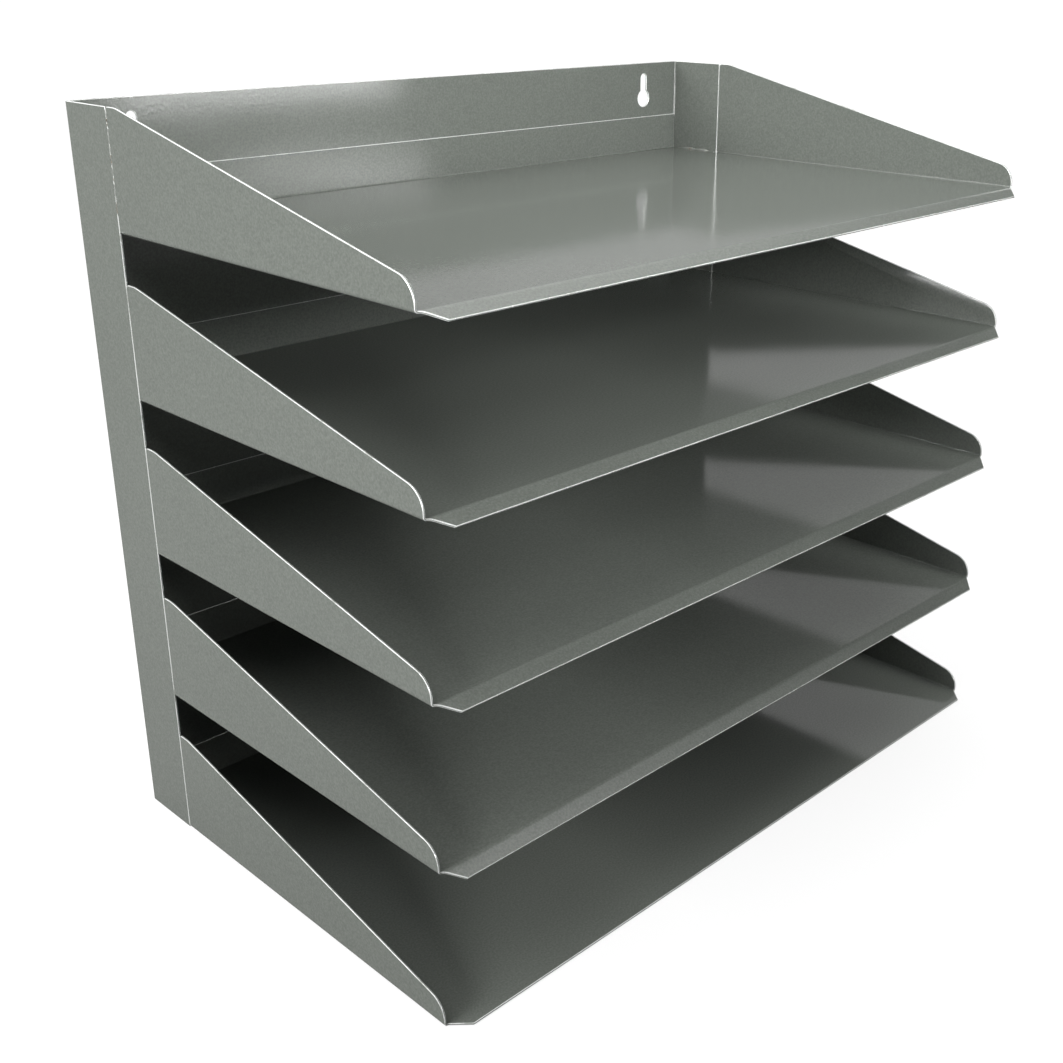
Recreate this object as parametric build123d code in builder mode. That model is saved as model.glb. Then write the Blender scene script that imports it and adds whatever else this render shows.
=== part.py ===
from build123d import *
from math import cos, radians, sin, tan
import os

# Five-tier desktop file sorter: one folded back panel with a return flange down each
# side, and five folded trays welded to it. Millimetres, +Z up, front towards -Y.
# The origin is at the middle of the footprint, on the surface that the sorter stands on.

# Driving dimensions
width = 381.0              # outside of the side flanges and tray wings
depth = 234.0              # back face to the front edge of the bottom tray
tray_count = 5
tray_pitch = 71.5          # underside of one tray floor to the next
sheet = 0.9                # 20 gauge steel
bend_radius = 1.6          # outside radius of every right-angle fold

flange_depth = 35.0        # back face to the front edge of a side flange
flange_corner = 1.0        # rounded top corner of a side flange

wing_height = 50.8         # tray wing at the seam with the back panel
wing_front_height = 10.5   # where the slope would meet the front fold
wing_nose_radius = 10.0    # rounded front end of the slope
wing_heel_length = 7.0     # level stretch beside the seam, before the slope starts
wing_heel_radius = 1.5     # rounded top corner at the seam
wing_shoulder_radius = 20.0
seam_gap = 0.2             # butt joint between side flange and wing

rear_flange_height = 20.6  # upturned rear edge of a tray, spot welded to the back panel
tongue_clearance = 0.6     # floor edge to the inside of the side flange

relief_radius = 1.0        # bend relief where the floor passes between the side flanges

lip_length = 7.0           # strip in front of the front fold
lip_angle = 26.0           # how far the lips of the upper trays are bent down
lip_bend_radius = 3.0      # inside of that bend
lip_end_inset = 9.0        # how far the lip's outer corners are cut back on each side

keyhole_spacing = 324.0
keyhole_drop = 19.8        # top edge of the back panel to the centre of the round hole
keyhole_radius = 4.75
keyhole_slot_width = 4.8
keyhole_slot_top = 6.0     # top edge of the back panel to the top of the slot

seam_recess = 0.3          # outer face down to the ground weld that fills a seam
floor_weld_width = 1.6     # fillet weld between a tray floor and a side flange
floor_weld_height = 0.9
floor_weld_margin = 1.5    # from each end of that joint to the weld

tack_count = 3             # raised beads on each seam of the top tray
tack_pitch = 16.0
tack_length = 4.0          # one bead, measured along the seam
tack_width = 1.8
tack_height = 0.35         # how far a bead stands out of the sheet

# Derived positions
back_height = (tray_count - 1) * tray_pitch + wing_height
back_y = depth / 2
back_inner_y = back_y - sheet
fold_y = lip_length - depth / 2
flange_front_y = back_y - flange_depth
wing_rear_y = flange_front_y - seam_gap
seam_y = flange_front_y - seam_gap / 2
shoulder_y = wing_rear_y - wing_heel_length
flange_inner_x = width / 2 - sheet
tongue_half_width = width / 2 - sheet - tongue_clearance
relief_x = tongue_half_width - relief_radius / 2
lip_bend_y = fold_y - lip_bend_radius * tan(radians(lip_angle / 2))
lip_reach = lip_length - (fold_y - lip_bend_y)
lip_tip_y = lip_bend_y - lip_reach * cos(radians(lip_angle))
lip_drop = lip_reach * sin(radians(lip_angle))
lip_root_half_width = width / 2 - bend_radius
lip_tip_half_width = width / 2 - lip_end_inset
floor_levels = [(tray_count - 1 - place) * tray_pitch for place in range(tray_count)]
tray_names = ["top_tray", "second_tray", "third_tray", "fourth_tray", "bottom_tray"]

os.makedirs("parts", exist_ok=True)


# Back panel: one sheet, folded forward down both sides, with two keyholes for wall screws
with BuildPart() as back_panel:
    with BuildSketch(Plane.XY) as folded_section:
        with BuildLine():
            FilletPolyline(
                (-width / 2, flange_front_y),
                (-width / 2, back_y),
                (width / 2, back_y),
                (width / 2, flange_front_y),
                radius=bend_radius,
            )
            offset(amount=sheet, side=Side.RIGHT)
        make_face()
    extrude(amount=back_height)

    front_edges = back_panel.edges().filter_by(Axis.X).group_by(Axis.Y)[0]
    fillet(front_edges.group_by(Axis.Z)[-1], radius=flange_corner)

    with BuildSketch(Plane.XZ.offset(-back_y)) as keyholes:
        round_z = back_height - keyhole_drop
        slot_end_z = back_height - keyhole_slot_top - keyhole_slot_width / 2
        for side in (-1, 1):
            key_x = side * keyhole_spacing / 2
            with Locations((key_x, round_z)):
                Circle(keyhole_radius)
            with Locations((key_x, (round_z + slot_end_z) / 2)):
                SlotCenterToCenter(slot_end_z - round_z, keyhole_slot_width, rotation=90)
    extrude(amount=2 * sheet, both=True, mode=Mode.SUBTRACT)

back_panel.part.label = "back_panel"
export_step(back_panel.part, "parts/back_panel.step")


# Trays: one sheet each, with two sloping wings, an upturned rear flange that fits between
# the side flanges of the back panel, and a front lip. The bottom tray lies on the desk,
# so its lip stays level.
for tray_name, floor_z in zip(tray_names, floor_levels):
    with BuildPart() as tray:
        with BuildSketch(Plane.XZ.offset(-wing_rear_y)) as channel_section:
            with BuildLine():
                FilletPolyline(
                    (-width / 2, floor_z + wing_height),
                    (-width / 2, floor_z),
                    (width / 2, floor_z),
                    (width / 2, floor_z + wing_height),
                    radius=bend_radius,
                )
                offset(amount=sheet, side=Side.LEFT)
            make_face()
        extrude(amount=wing_rear_y - fold_y)

        with BuildSketch(Plane.YZ) as wing_outline:
            with BuildLine():
                Polyline(
                    (wing_rear_y, floor_z),
                    (wing_rear_y, floor_z + wing_height),
                    (shoulder_y, floor_z + wing_height),
                    (fold_y, floor_z + wing_front_height),
                    (fold_y, floor_z),
                    close=True,
                )
            make_face()
            fillet(wing_outline.vertices().group_by(Axis.Y)[-2], radius=wing_nose_radius)
            for end, radius in ((0, wing_shoulder_radius), (-1, wing_heel_radius)):
                level_corners = wing_outline.vertices().group_by(Axis.Y)[-1].sort_by(Axis.X)
                fillet(level_corners[end], radius=radius)
        extrude(amount=width, both=True, mode=Mode.INTERSECT)

        with BuildSketch(Plane.YZ) as rear_section:
            with BuildLine():
                FilletPolyline(
                    (wing_rear_y - sheet, floor_z),
                    (back_inner_y, floor_z),
                    (back_inner_y, floor_z + rear_flange_height),
                    radius=bend_radius,
                )
                offset(amount=sheet, side=Side.LEFT)
            make_face()
        extrude(amount=tongue_half_width, both=True)

        with BuildSketch(Plane.XY.offset(floor_z)) as reliefs:
            with Locations((-relief_x, wing_rear_y), (relief_x, wing_rear_y)):
                Circle(relief_radius)
        extrude(amount=2 * sheet, mode=Mode.SUBTRACT)

        with BuildSketch(Plane.YZ) as lip_section:
            with BuildLine():
                if floor_z > 0:
                    FilletPolyline(
                        (fold_y + sheet, floor_z),
                        (lip_bend_y, floor_z),
                        (lip_tip_y, floor_z - lip_drop),
                        radius=lip_bend_radius,
                    )
                else:
                    Line((fold_y + sheet, floor_z), (fold_y - lip_length, floor_z))
                offset(amount=sheet, side=Side.RIGHT)
            make_face()
        extrude(amount=lip_root_half_width, both=True)

        with BuildSketch(Plane.XY.offset(floor_z - lip_length)) as lip_corners:
            with BuildLine():
                Polyline(
                    (lip_root_half_width, fold_y),
                    (lip_tip_half_width, fold_y - lip_length),
                    (width / 2, fold_y - lip_length),
                    (width / 2, fold_y),
                    close=True,
                )
            make_face()
            mirror(about=Plane.YZ)
        extrude(amount=2 * lip_length, mode=Mode.SUBTRACT)

    tray.part.label = tray_name
    export_step(tray.part, f"parts/{tray_name}.step")


# Welds of one side. The seam welds are ground off below the outer face and flush inside.
# The floor welds are fillets that close the gap between a tray floor and the side flange.
# The seam tacks are the beads left standing on the top tray's seam, where no tray hides it.
for side, side_name in ((-1, "left"), (1, "right")):
    with BuildPart() as seam_welds:
        for floor_z in floor_levels:
            with BuildSketch(Plane.XY.offset(floor_z + bend_radius)) as seam_fill:
                with Locations((side * (flange_inner_x + (sheet - seam_recess) / 2), seam_y)):
                    Rectangle(sheet - seam_recess, seam_gap)
            extrude(amount=wing_height - bend_radius - wing_heel_radius)

    seam_welds.part.label = f"{side_name}_seam_welds"
    export_step(seam_welds.part, f"parts/{side_name}_seam_welds.step")

    with BuildPart() as floor_welds:
        for floor_z in floor_levels:
            top_z = floor_z + sheet
            with BuildSketch(Plane.XZ.offset(-flange_front_y - floor_weld_margin)) as fillet_section:
                with BuildLine():
                    toe = Line(
                        (side * flange_inner_x, top_z + floor_weld_height),
                        (side * flange_inner_x, top_z),
                    )
                    root = Line(toe @ 1, (side * (flange_inner_x - floor_weld_width), top_z))
                    RadiusArc(root @ 1, toe @ 0, side * floor_weld_width)
                make_face()
                with Locations((side * (flange_inner_x - tongue_clearance / 2), floor_z + sheet / 2)):
                    Rectangle(tongue_clearance, sheet)
            extrude(amount=-(back_inner_y - bend_radius - flange_front_y - 2 * floor_weld_margin))

    floor_welds.part.label = f"{side_name}_floor_welds"
    export_step(floor_welds.part, f"parts/{side_name}_floor_welds.step")

    with BuildPart() as seam_tacks:
        for place in range(tack_count):
            bead_z = back_height - wing_heel_radius - tack_length - place * tack_pitch
            outer_x = side * width / 2
            with BuildSketch(Plane.XY.offset(bead_z)) as bead_section:
                with Locations((outer_x - side * seam_recess / 2, seam_y)):
                    Rectangle(seam_recess, seam_gap)
                with BuildLine():
                    crown = ThreePointArc(
                        (outer_x, seam_y - tack_width / 2),
                        (outer_x + side * tack_height, seam_y),
                        (outer_x, seam_y + tack_width / 2),
                    )
                    Line(crown @ 1, crown @ 0)
                make_face()
            extrude(amount=tack_length)

    seam_tacks.part.label = f"{side_name}_seam_tacks"
    export_step(seam_tacks.part, f"parts/{side_name}_seam_tacks.step")
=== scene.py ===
import math
import random

import bpy
from mathutils import Matrix, Vector


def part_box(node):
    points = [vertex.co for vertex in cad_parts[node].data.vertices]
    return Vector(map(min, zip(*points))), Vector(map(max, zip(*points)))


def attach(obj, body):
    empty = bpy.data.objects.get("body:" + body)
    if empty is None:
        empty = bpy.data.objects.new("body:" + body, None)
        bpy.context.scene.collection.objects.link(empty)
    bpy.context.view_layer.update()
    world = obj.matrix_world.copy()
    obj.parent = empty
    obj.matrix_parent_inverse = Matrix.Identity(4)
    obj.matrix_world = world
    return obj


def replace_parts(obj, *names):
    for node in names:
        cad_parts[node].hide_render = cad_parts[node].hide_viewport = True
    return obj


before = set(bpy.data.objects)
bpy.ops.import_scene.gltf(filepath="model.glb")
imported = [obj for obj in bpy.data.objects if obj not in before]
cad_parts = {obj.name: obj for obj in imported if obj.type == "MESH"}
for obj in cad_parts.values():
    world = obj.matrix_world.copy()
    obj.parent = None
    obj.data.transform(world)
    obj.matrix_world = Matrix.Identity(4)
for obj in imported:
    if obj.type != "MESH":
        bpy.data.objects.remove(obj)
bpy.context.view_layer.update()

# ---------------------------------------------------------------- camera

SENSOR_MM = 36.0
LENS_MM = 46.735654
VIEW_AZIMUTH = -45.7        # degrees; 0 looks along +Y
VIEW_ELEVATION = 21.1
VIEW_ROLL = 0.35
CAMERA_PLACE = Vector((-0.4582, -0.4526, 0.3907))
CAMERA_SHIFT = (-0.0611, -0.0334)
CAMERA_CLIP = (0.01, 200.0)

# ---------------------------------------------------------------- studio brightness

WHITE = (1, 1, 1)
TENT_FRONT = 0.03           # radiance of the tent in front of the object
TENT_BACK = 0.5             # behind it
TENT_BACK_FROM = 0.45       # a direction's +Y share at which that is reached
TENT_TOP = 1.8              # straight above it
TENT_TOP_LEAN = 0.5         # how much the bright top is drawn towards +Y
TENT_TOP_FROM = 0.5         # a direction's height, with that lean, where it starts to show
FLOOR_SIDE = 60.0           # half the floor's width, in metres
FLOOR_LEVEL = -0.0003
FLOOR_GLOW = 1.15           # what the camera sees: mostly an even white,
FLOOR_PALE = (0.85,) * 3    # with a share of pale paper that takes a faint shadow
FLOOR_PALE_SHARE = 0.3
FLOOR_BOUNCE = (0.25,) * 3  # what lights the object from below

# name, place, target, size, watts, spread in degrees
LIGHTS = [
    ("left_softbox", (-1.5, 0.12, 0.62), (-0.19, 0, 0.40), (1.0, 0.4), 7.9, 100.0),
    ("front_softbox", (-0.08, -0.98, 0.60), (0, 0.1, 0.33), (0.7, 0.3), 1.0, 44.0),
    ("key_softbox", (-0.45, -0.75, 0.95), (0.08, 0.08, 0.31), (0.4, 0.4), 0.30, 50.0),
    ("low_strip", (0.585, -0.95, 0.25), (0.585, 0.117, 0.25), (0.43, 0.06), 0.8, 180.0),
    ("grid_strip", (0.58, -0.95, 0.45), (-0.17, 0.11, 0.38), (0.42, 0.05), 0.014, 16.0),
    ("nose_softbox", (0.61, -0.51, 1.05), (-0.1, -0.1, 0.29), (0.6, 0.6), 0.8, 180.0),
]


def build_camera():
    azimuth, elevation = math.radians(VIEW_AZIMUTH), math.radians(VIEW_ELEVATION)
    data = bpy.data.cameras.new("camera")
    data.sensor_width = SENSOR_MM
    data.lens = LENS_MM
    data.shift_x, data.shift_y = CAMERA_SHIFT
    data.clip_start, data.clip_end = CAMERA_CLIP
    camera = bpy.data.objects.new("camera", data)
    bpy.context.scene.collection.objects.link(camera)
    turn = Matrix.Rotation(azimuth, 4, "Z") @ Matrix.Rotation(math.pi / 2 - elevation, 4, "X")
    roll = Matrix.Rotation(math.radians(VIEW_ROLL), 4, "Z")
    camera.matrix_world = Matrix.Translation(CAMERA_PLACE) @ turn @ roll
    bpy.context.scene.camera = camera


# ---------------------------------------------------------------- sizes, in metres

SHEET = 0.0009
HALF_WIDTH = 0.1905
EDGE_WIDTH = 0.0003         # eased cut edges, coloured near white as a painted highlight, partly thin paint
EDGE_ANGLE = 50.0           # degrees; folds flatter than this keep their facets
EDGE_SEGMENTS = 2
EDGE_SLOT = 1               # material slot of the eased edges, which holds the painted edge highlight
MERGE_GAP = 0.00015         # points nearer than this join before the bevel
FLAT_ANGLE = 0.5            # degrees; faces that turn by less than this join before the bevel
FILLET_WIDTH = 0.0019       # weld between a tray floor and a side flange
FILLET_HEIGHT = 0.0012
FILLET_STEPS = 60
FILLET_LUMPS = (0.0060, 0.0120)     # shortest and longest lump in it
FILLET_ROOT = 0.0002        # how far its hidden corner sits inside the sheets
SEAM_BEAD_WIDTH = 0.0012    # weld left standing on the top tray's seam
SEAM_BEAD_HEIGHT = 0.00028
SEAM_STEPS = 120
SEAM_LUMPS = (0.0016, 0.0042)
SEAM_SWAY = 0.00025         # how far it wanders from the seam, to either side
SEAM_SWAY_RATE = 900.0      # radians of that wander to a metre
SEAM_ROOT = 0.0002          # how far the bead's hidden core sits inside the sheet
SEAM_SINK = 0.00005         # and the foot of its crown
ARC_STEPS = 8               # facets round a bead's section
SEAM_TAIL = 0.006           # how far that bead runs on below its lowest tack
SEAM_CAP = 0.0012           # and above its highest
LIP_DROP = 0.002765         # from a raised tray's floor down to its lip
CORNER_WELD = 0.026         # length of a tray's floor weld, measured from the back

# ---------------------------------------------------------------- stage and light

def area_light(name, place, target, size, watts, spread):
    data = bpy.data.lights.new(name, "AREA")
    data.shape = "RECTANGLE"
    data.size, data.size_y = size
    data.energy = watts
    data.spread = math.radians(spread)
    lamp = bpy.data.objects.new(name, data)
    bpy.context.scene.collection.objects.link(lamp)
    lamp.location = place
    lamp.rotation_euler = (Vector(target) - Vector(place)).to_track_quat("-Z", "Y").to_euler()


class Net:
    """Short calls for wiring a world or stage shader."""

    def __init__(self, tree):
        self.nodes, self.links = tree.nodes, tree.links
        self.nodes.clear()
        self.path = self.nodes.new("ShaderNodeLightPath")

    def link(self, source, socket):
        self.links.new(source, socket)

    def smooth(self, value, start, end, low, high):
        node = self.nodes.new("ShaderNodeMapRange")
        node.interpolation_type = "SMOOTHSTEP"
        settings = {"From Min": start, "From Max": end, "To Min": low, "To Max": high}
        for name, number in settings.items():
            node.inputs[name].default_value = number
        self.link(value, node.inputs["Value"])
        return node.outputs["Result"]

    def larger(self, first, second):
        node = self.nodes.new("ShaderNodeMath")
        node.operation = "MAXIMUM"
        self.link(first, node.inputs[0])
        self.link(second, node.inputs[1])
        return node.outputs[0]

    def mix(self, factor, first, second):
        node = self.nodes.new("ShaderNodeMixShader")
        if isinstance(factor, float):
            node.inputs[0].default_value = factor
        else:
            self.link(factor, node.inputs[0])
        self.link(first, node.inputs[1])
        self.link(second, node.inputs[2])
        return node.outputs[0]

    def shader(self, kind, color, strength=None):
        node = self.nodes.new(kind)
        node.inputs["Color"].default_value = (*color, 1)
        if strength is not None:
            node.inputs["Strength"].default_value = strength
        return node


def build_world():
    """White behind and above, dim in front, as in a light tent that is open to the camera."""
    world = bpy.data.worlds.new("studio")
    bpy.context.scene.world = world
    world.use_nodes = True
    net = Net(world.node_tree)
    coords = net.nodes.new("ShaderNodeTexCoord")
    split = net.nodes.new("ShaderNodeSeparateXYZ")
    net.link(coords.outputs["Generated"], split.inputs[0])
    behind = net.smooth(split.outputs["Y"], 0.0, TENT_BACK_FROM, TENT_FRONT, TENT_BACK)
    lean = net.nodes.new("ShaderNodeMath")
    lean.operation = "MULTIPLY_ADD"
    net.link(split.outputs["Y"], lean.inputs[0])
    lean.inputs[1].default_value = TENT_TOP_LEAN
    net.link(split.outputs["Z"], lean.inputs[2])
    above = net.smooth(lean.outputs[0], TENT_TOP_FROM, 1.0, 0.0, TENT_TOP)
    glow = net.shader("ShaderNodeBackground", WHITE)
    net.link(net.larger(behind, above), glow.inputs["Strength"])
    white = net.shader("ShaderNodeBackground", WHITE, 1.0)
    out = net.nodes.new("ShaderNodeOutputWorld")
    seen = net.mix(net.path.outputs["Is Camera Ray"], glow.outputs[0], white.outputs[0])
    net.link(seen, out.inputs["Surface"])


def build_stage():
    """A plain pale floor, almost shadowless, that throws little light up under the trays."""
    mesh = bpy.data.meshes.new("floor")
    corners = [(FLOOR_SIDE * x, FLOOR_SIDE * y, 0) for x, y in ((-1, -1), (1, -1), (1, 1), (-1, 1))]
    mesh.from_pydata(corners, [], [(0, 1, 2, 3)])
    floor = bpy.data.objects.new("floor", mesh)
    floor.location.z = FLOOR_LEVEL
    bpy.context.scene.collection.objects.link(floor)
    paper = bpy.data.materials.new("pale_floor")
    paper.use_nodes = True
    net = Net(paper.node_tree)
    glow = net.shader("ShaderNodeEmission", WHITE, FLOOR_GLOW)
    pale = net.shader("ShaderNodeBsdfDiffuse", FLOOR_PALE)
    dim = net.shader("ShaderNodeBsdfDiffuse", FLOOR_BOUNCE)
    seen = net.mix(FLOOR_PALE_SHARE, glow.outputs[0], pale.outputs[0])
    out = net.nodes.new("ShaderNodeOutputMaterial")
    net.link(net.mix(net.path.outputs["Is Camera Ray"], dim.outputs[0], seen), out.inputs["Surface"])
    mesh.materials.append(paper)


# ---------------------------------------------------------------- paint

class Tree:
    """Short calls for building one material's node tree."""

    def __init__(self, name):
        self.material = bpy.data.materials.new(name)
        self.material.use_nodes = True
        self.nodes = self.material.node_tree.nodes
        self.links = self.material.node_tree.links
        self.shader = self.nodes["Principled BSDF"]
        self.place = self.nodes.new("ShaderNodeTexCoord").outputs["Object"]

    def noise(self, scale, detail=2.0, roughness=0.5):
        node = self.nodes.new("ShaderNodeTexNoise")
        node.inputs["Scale"].default_value = scale
        node.inputs["Detail"].default_value = detail
        node.inputs["Roughness"].default_value = roughness
        self.links.new(self.place, node.inputs["Vector"])
        return node.outputs["Fac"]

    def ramp(self, value, low, high, start=0.0, end=1.0):
        node = self.nodes.new("ShaderNodeMapRange")
        node.inputs["From Min"].default_value = start
        node.inputs["From Max"].default_value = end
        node.inputs["To Min"].default_value = low
        node.inputs["To Max"].default_value = high
        self.links.new(value, node.inputs["Value"])
        return node.outputs["Result"]

    def mix(self, factor, first, second):
        node = self.nodes.new("ShaderNodeMix")
        node.data_type = "RGBA"
        self.links.new(factor, node.inputs["Factor"])
        for value, socket in ((first, node.inputs[6]), (second, node.inputs[7])):
            if isinstance(value, tuple):
                socket.default_value = (*value, 1)
            else:
                self.links.new(value, socket)
        return node.outputs[2]

    def bump(self, height, strength, distance, below=None):
        node = self.nodes.new("ShaderNodeBump")
        node.inputs["Strength"].default_value = strength
        node.inputs["Distance"].default_value = distance
        self.links.new(height, node.inputs["Height"])
        if below is not None:
            self.links.new(below, node.inputs["Normal"])
        return node.outputs["Normal"]

    def feed(self, value, socket):
        self.links.new(value, self.shader.inputs[socket])


ENAMEL_LIGHT = ((0.164, 0.177, 0.160), (0.182, 0.196, 0.177))     # on the grain's crests
ENAMEL_DARK = ((0.124, 0.136, 0.122), (0.138, 0.150, 0.135))      # and between them
ENAMEL_ROUGHNESS = (0.08, 0.12)     # where untouched and where handled
# eased-edge colours, near white: a painted highlight along the arrises, partly thin paint over steel
EDGE_HIGHLIGHT_DULL, EDGE_HIGHLIGHT_BRIGHT = (0.44, 0.46, 0.43), (0.84, 0.86, 0.84)
EDGE_ROUGHNESS = (0.34, 0.26)
WELD_GREY, WELD_STAIN = (0.27, 0.285, 0.265), (0.10, 0.075, 0.045)
WELD_ROUGHNESS = (0.16, 0.5)


def grey_enamel():
    """Baked enamel: faint clouds and grain in the grey, and a fine orange peel."""
    paint = Tree("grey_enamel")
    clouds = paint.noise(9.0, 3.0)
    grain = paint.noise(1100.0, 2.0, 0.6)
    light = paint.mix(clouds, *ENAMEL_LIGHT)
    dark = paint.mix(clouds, *ENAMEL_DARK)
    paint.feed(paint.mix(paint.ramp(grain, 0.0, 1.0, 0.32, 0.68), dark, light), "Base Color")
    handled = paint.ramp(paint.noise(34.0, 4.0, 0.6), *ENAMEL_ROUGHNESS, 0.3, 0.75)
    paint.feed(handled, "Roughness")
    peel = paint.bump(paint.noise(620.0, 1.5), 0.16, 0.00010)
    paint.feed(paint.bump(grain, 0.10, 0.00005, peel), "Normal")
    return paint.material


def painted_edge_highlight():
    """Cut edges coloured light as a painted highlight along the arrises; partly real, where the enamel
    pulls back and the steel shows through in places.
    """
    paint = Tree("painted_edge_highlight")
    patches = paint.ramp(paint.noise(140.0, 3.0, 0.6), 0.0, 1.0, 0.30, 0.44)
    paint.feed(paint.mix(patches, EDGE_HIGHLIGHT_DULL, EDGE_HIGHLIGHT_BRIGHT), "Base Color")
    paint.feed(paint.ramp(patches, *EDGE_ROUGHNESS), "Roughness")
    paint.shader.inputs["Metallic"].default_value = 0.35
    paint.feed(paint.bump(paint.noise(900.0, 2.0), 0.15, 0.00004), "Normal")
    return paint.material


def painted_weld():
    """Weld metal under enamel: glossy grey, with rougher patches of brown flux spread by a noise
    texture.
    """
    paint = Tree("painted_weld")
    stain = paint.ramp(paint.noise(420.0, 3.0, 0.65), 0.0, 1.0, 0.52, 0.68)
    paint.feed(paint.mix(stain, WELD_GREY, WELD_STAIN), "Base Color")
    paint.feed(paint.ramp(stain, *WELD_ROUGHNESS), "Roughness")
    paint.shader.inputs["Metallic"].default_value = 0.2
    paint.feed(paint.bump(paint.noise(1100.0, 2.0), 0.35, 0.0001), "Normal")
    return paint.material


def dress_nodes():
    """Enamel on every CAD node, and eased edges with a painted highlight on the sheets."""
    enamel, edge_highlight = grey_enamel(), painted_edge_highlight()
    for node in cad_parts.values():
        node.data.materials.clear()
        node.data.materials.append(enamel)
        if node.name.endswith(("welds", "tacks")):
            continue
        node.data.materials.append(edge_highlight)
        weld = node.modifiers.new("join_close_points", "WELD")
        weld.merge_threshold = MERGE_GAP
        flat = node.modifiers.new("whole_faces", "DECIMATE")
        flat.decimate_type = "DISSOLVE"
        flat.angle_limit = math.radians(FLAT_ANGLE)
        bevel = node.modifiers.new("eased_edges", "BEVEL")
        bevel.width = EDGE_WIDTH
        bevel.segments = EDGE_SEGMENTS
        bevel.limit_method = "ANGLE"
        bevel.angle_limit = math.radians(EDGE_ANGLE)
        bevel.use_clamp_overlap = False
        bevel.loop_slide = False
        bevel.material = EDGE_SLOT


# ---------------------------------------------------------------- weld beads

def bead_mesh(name, material, rings):
    """A closed bead from rings of points, each ring in the same order round its section."""
    points = [point for ring in rings for point in ring]
    count = len(rings[0])
    faces = []
    for ring in range(len(rings) - 1):
        for spot in range(count):
            after = (spot + 1) % count
            low, high = ring * count, (ring + 1) * count
            faces.append((low + spot, low + after, high + after, high + spot))
    faces.append(tuple(reversed(range(count))))
    faces.append(tuple(range((len(rings) - 1) * count, len(rings) * count)))
    mesh = bpy.data.meshes.new(name)
    mesh.from_pydata(points, [], faces)
    mesh.validate()
    mesh.polygons.foreach_set("use_smooth", [True] * len(mesh.polygons))
    mesh.materials.append(material)
    bead = bpy.data.objects.new(name, mesh)
    bpy.context.scene.collection.objects.link(bead)
    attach(bead, "root")
    return bead


def lump_sizes(draw, length, shortest, longest):
    """Start, end and height factor of the lumps that make up one bead."""
    lumps, start = [], 0.0
    while start < length - shortest:
        end = min(length, start + draw.uniform(shortest, longest))
        lumps.append((start, end, draw.uniform(0.65, 1.15)))
        start = end
    return lumps


def swell(lumps, run):
    """Relative height of the bead at a distance along it: each lump is a low arch."""
    for start, end, height in lumps:
        if run <= end:
            share = (run - start) / (end - start)
            return height * (0.35 + 0.65 * math.sin(math.pi * min(max(share, 0.0), 1.0)))
    return 0.3


def floor_weld(name, node, side, corner, length, material, draw):
    """Fillet weld along the corner between a tray floor and a side flange."""
    lumps = lump_sizes(draw, length, *FILLET_LUMPS)
    rings = []
    for step in range(FILLET_STEPS + 1):
        run = length * step / FILLET_STEPS
        ends = min(1.0, 6.0 * min(step, FILLET_STEPS - step) / FILLET_STEPS + 0.15)
        size = swell(lumps, run) * ends
        ring = [corner + Vector((FILLET_ROOT * side, run, -FILLET_ROOT))]
        for turn in range(ARC_STEPS + 1):
            angle = math.pi / 2 * turn / ARC_STEPS
            leg, rise = FILLET_WIDTH * size * math.cos(angle), FILLET_HEIGHT * size * math.sin(angle)
            ring.append(corner + Vector((-side * leg, run, rise)))
        rings.append(ring if side < 0 else list(reversed(ring)))
    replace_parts(bead_mesh(name, material, rings), node)


def seam_bead(name, node, side, foot, length, material, draw):
    """Raised, uneven weld metal standing on the outer face over a vertical seam."""
    lumps = lump_sizes(draw, length, *SEAM_LUMPS)
    rings = []
    for step in range(SEAM_STEPS + 1):
        run = length * step / SEAM_STEPS
        ends = min(1.0, 12.0 * min(step, SEAM_STEPS - step) / SEAM_STEPS + 0.1)
        size = swell(lumps, run) * ends
        sway = SEAM_SWAY * math.sin(run * SEAM_SWAY_RATE + side)
        ring = [foot + Vector((-side * SEAM_ROOT, sway, run))]
        for turn in range(ARC_STEPS + 1):
            angle = math.pi * turn / ARC_STEPS
            out = side * (SEAM_BEAD_HEIGHT * size * math.sin(angle) - SEAM_SINK)
            ring.append(foot + Vector((out, sway + SEAM_BEAD_WIDTH / 2 * size * math.cos(angle), run)))
        rings.append(ring if side < 0 else list(reversed(ring)))
    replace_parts(bead_mesh(name, material, rings), node)


def build_welds():
    material = painted_weld()
    draw = random.Random(7)
    trays = ["top_tray", "second_tray", "third_tray", "fourth_tray", "bottom_tray"]
    for side, word in ((-1, "left"), (1, "right")):
        low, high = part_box(f"{word}_floor_welds")
        corner_x = low[0] if side < 0 else high[0]
        for tray in trays:
            floor_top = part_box(tray)[0][2] + (LIP_DROP if tray != "bottom_tray" else 0.0) + SHEET
            corner = Vector((corner_x, high[1] - CORNER_WELD, floor_top))
            floor_weld(f"{tray}_floor_weld_{word}", f"{word}_floor_welds", side, corner,
                       CORNER_WELD, material, draw)
        low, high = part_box(f"{word}_seam_tacks")
        face_x = -HALF_WIDTH if side < 0 else HALF_WIDTH
        foot = Vector((face_x, (low[1] + high[1]) / 2, low[2] - SEAM_TAIL))
        seam_bead(f"top_seam_bead_{word}", f"{word}_seam_tacks", side, foot,
                  high[2] - foot.z + SEAM_CAP, material, draw)


build_camera()
build_world()
build_stage()
for light in LIGHTS:
    area_light(*light)
bpy.context.scene.view_settings.view_transform = "Standard"
dress_nodes()
build_welds()
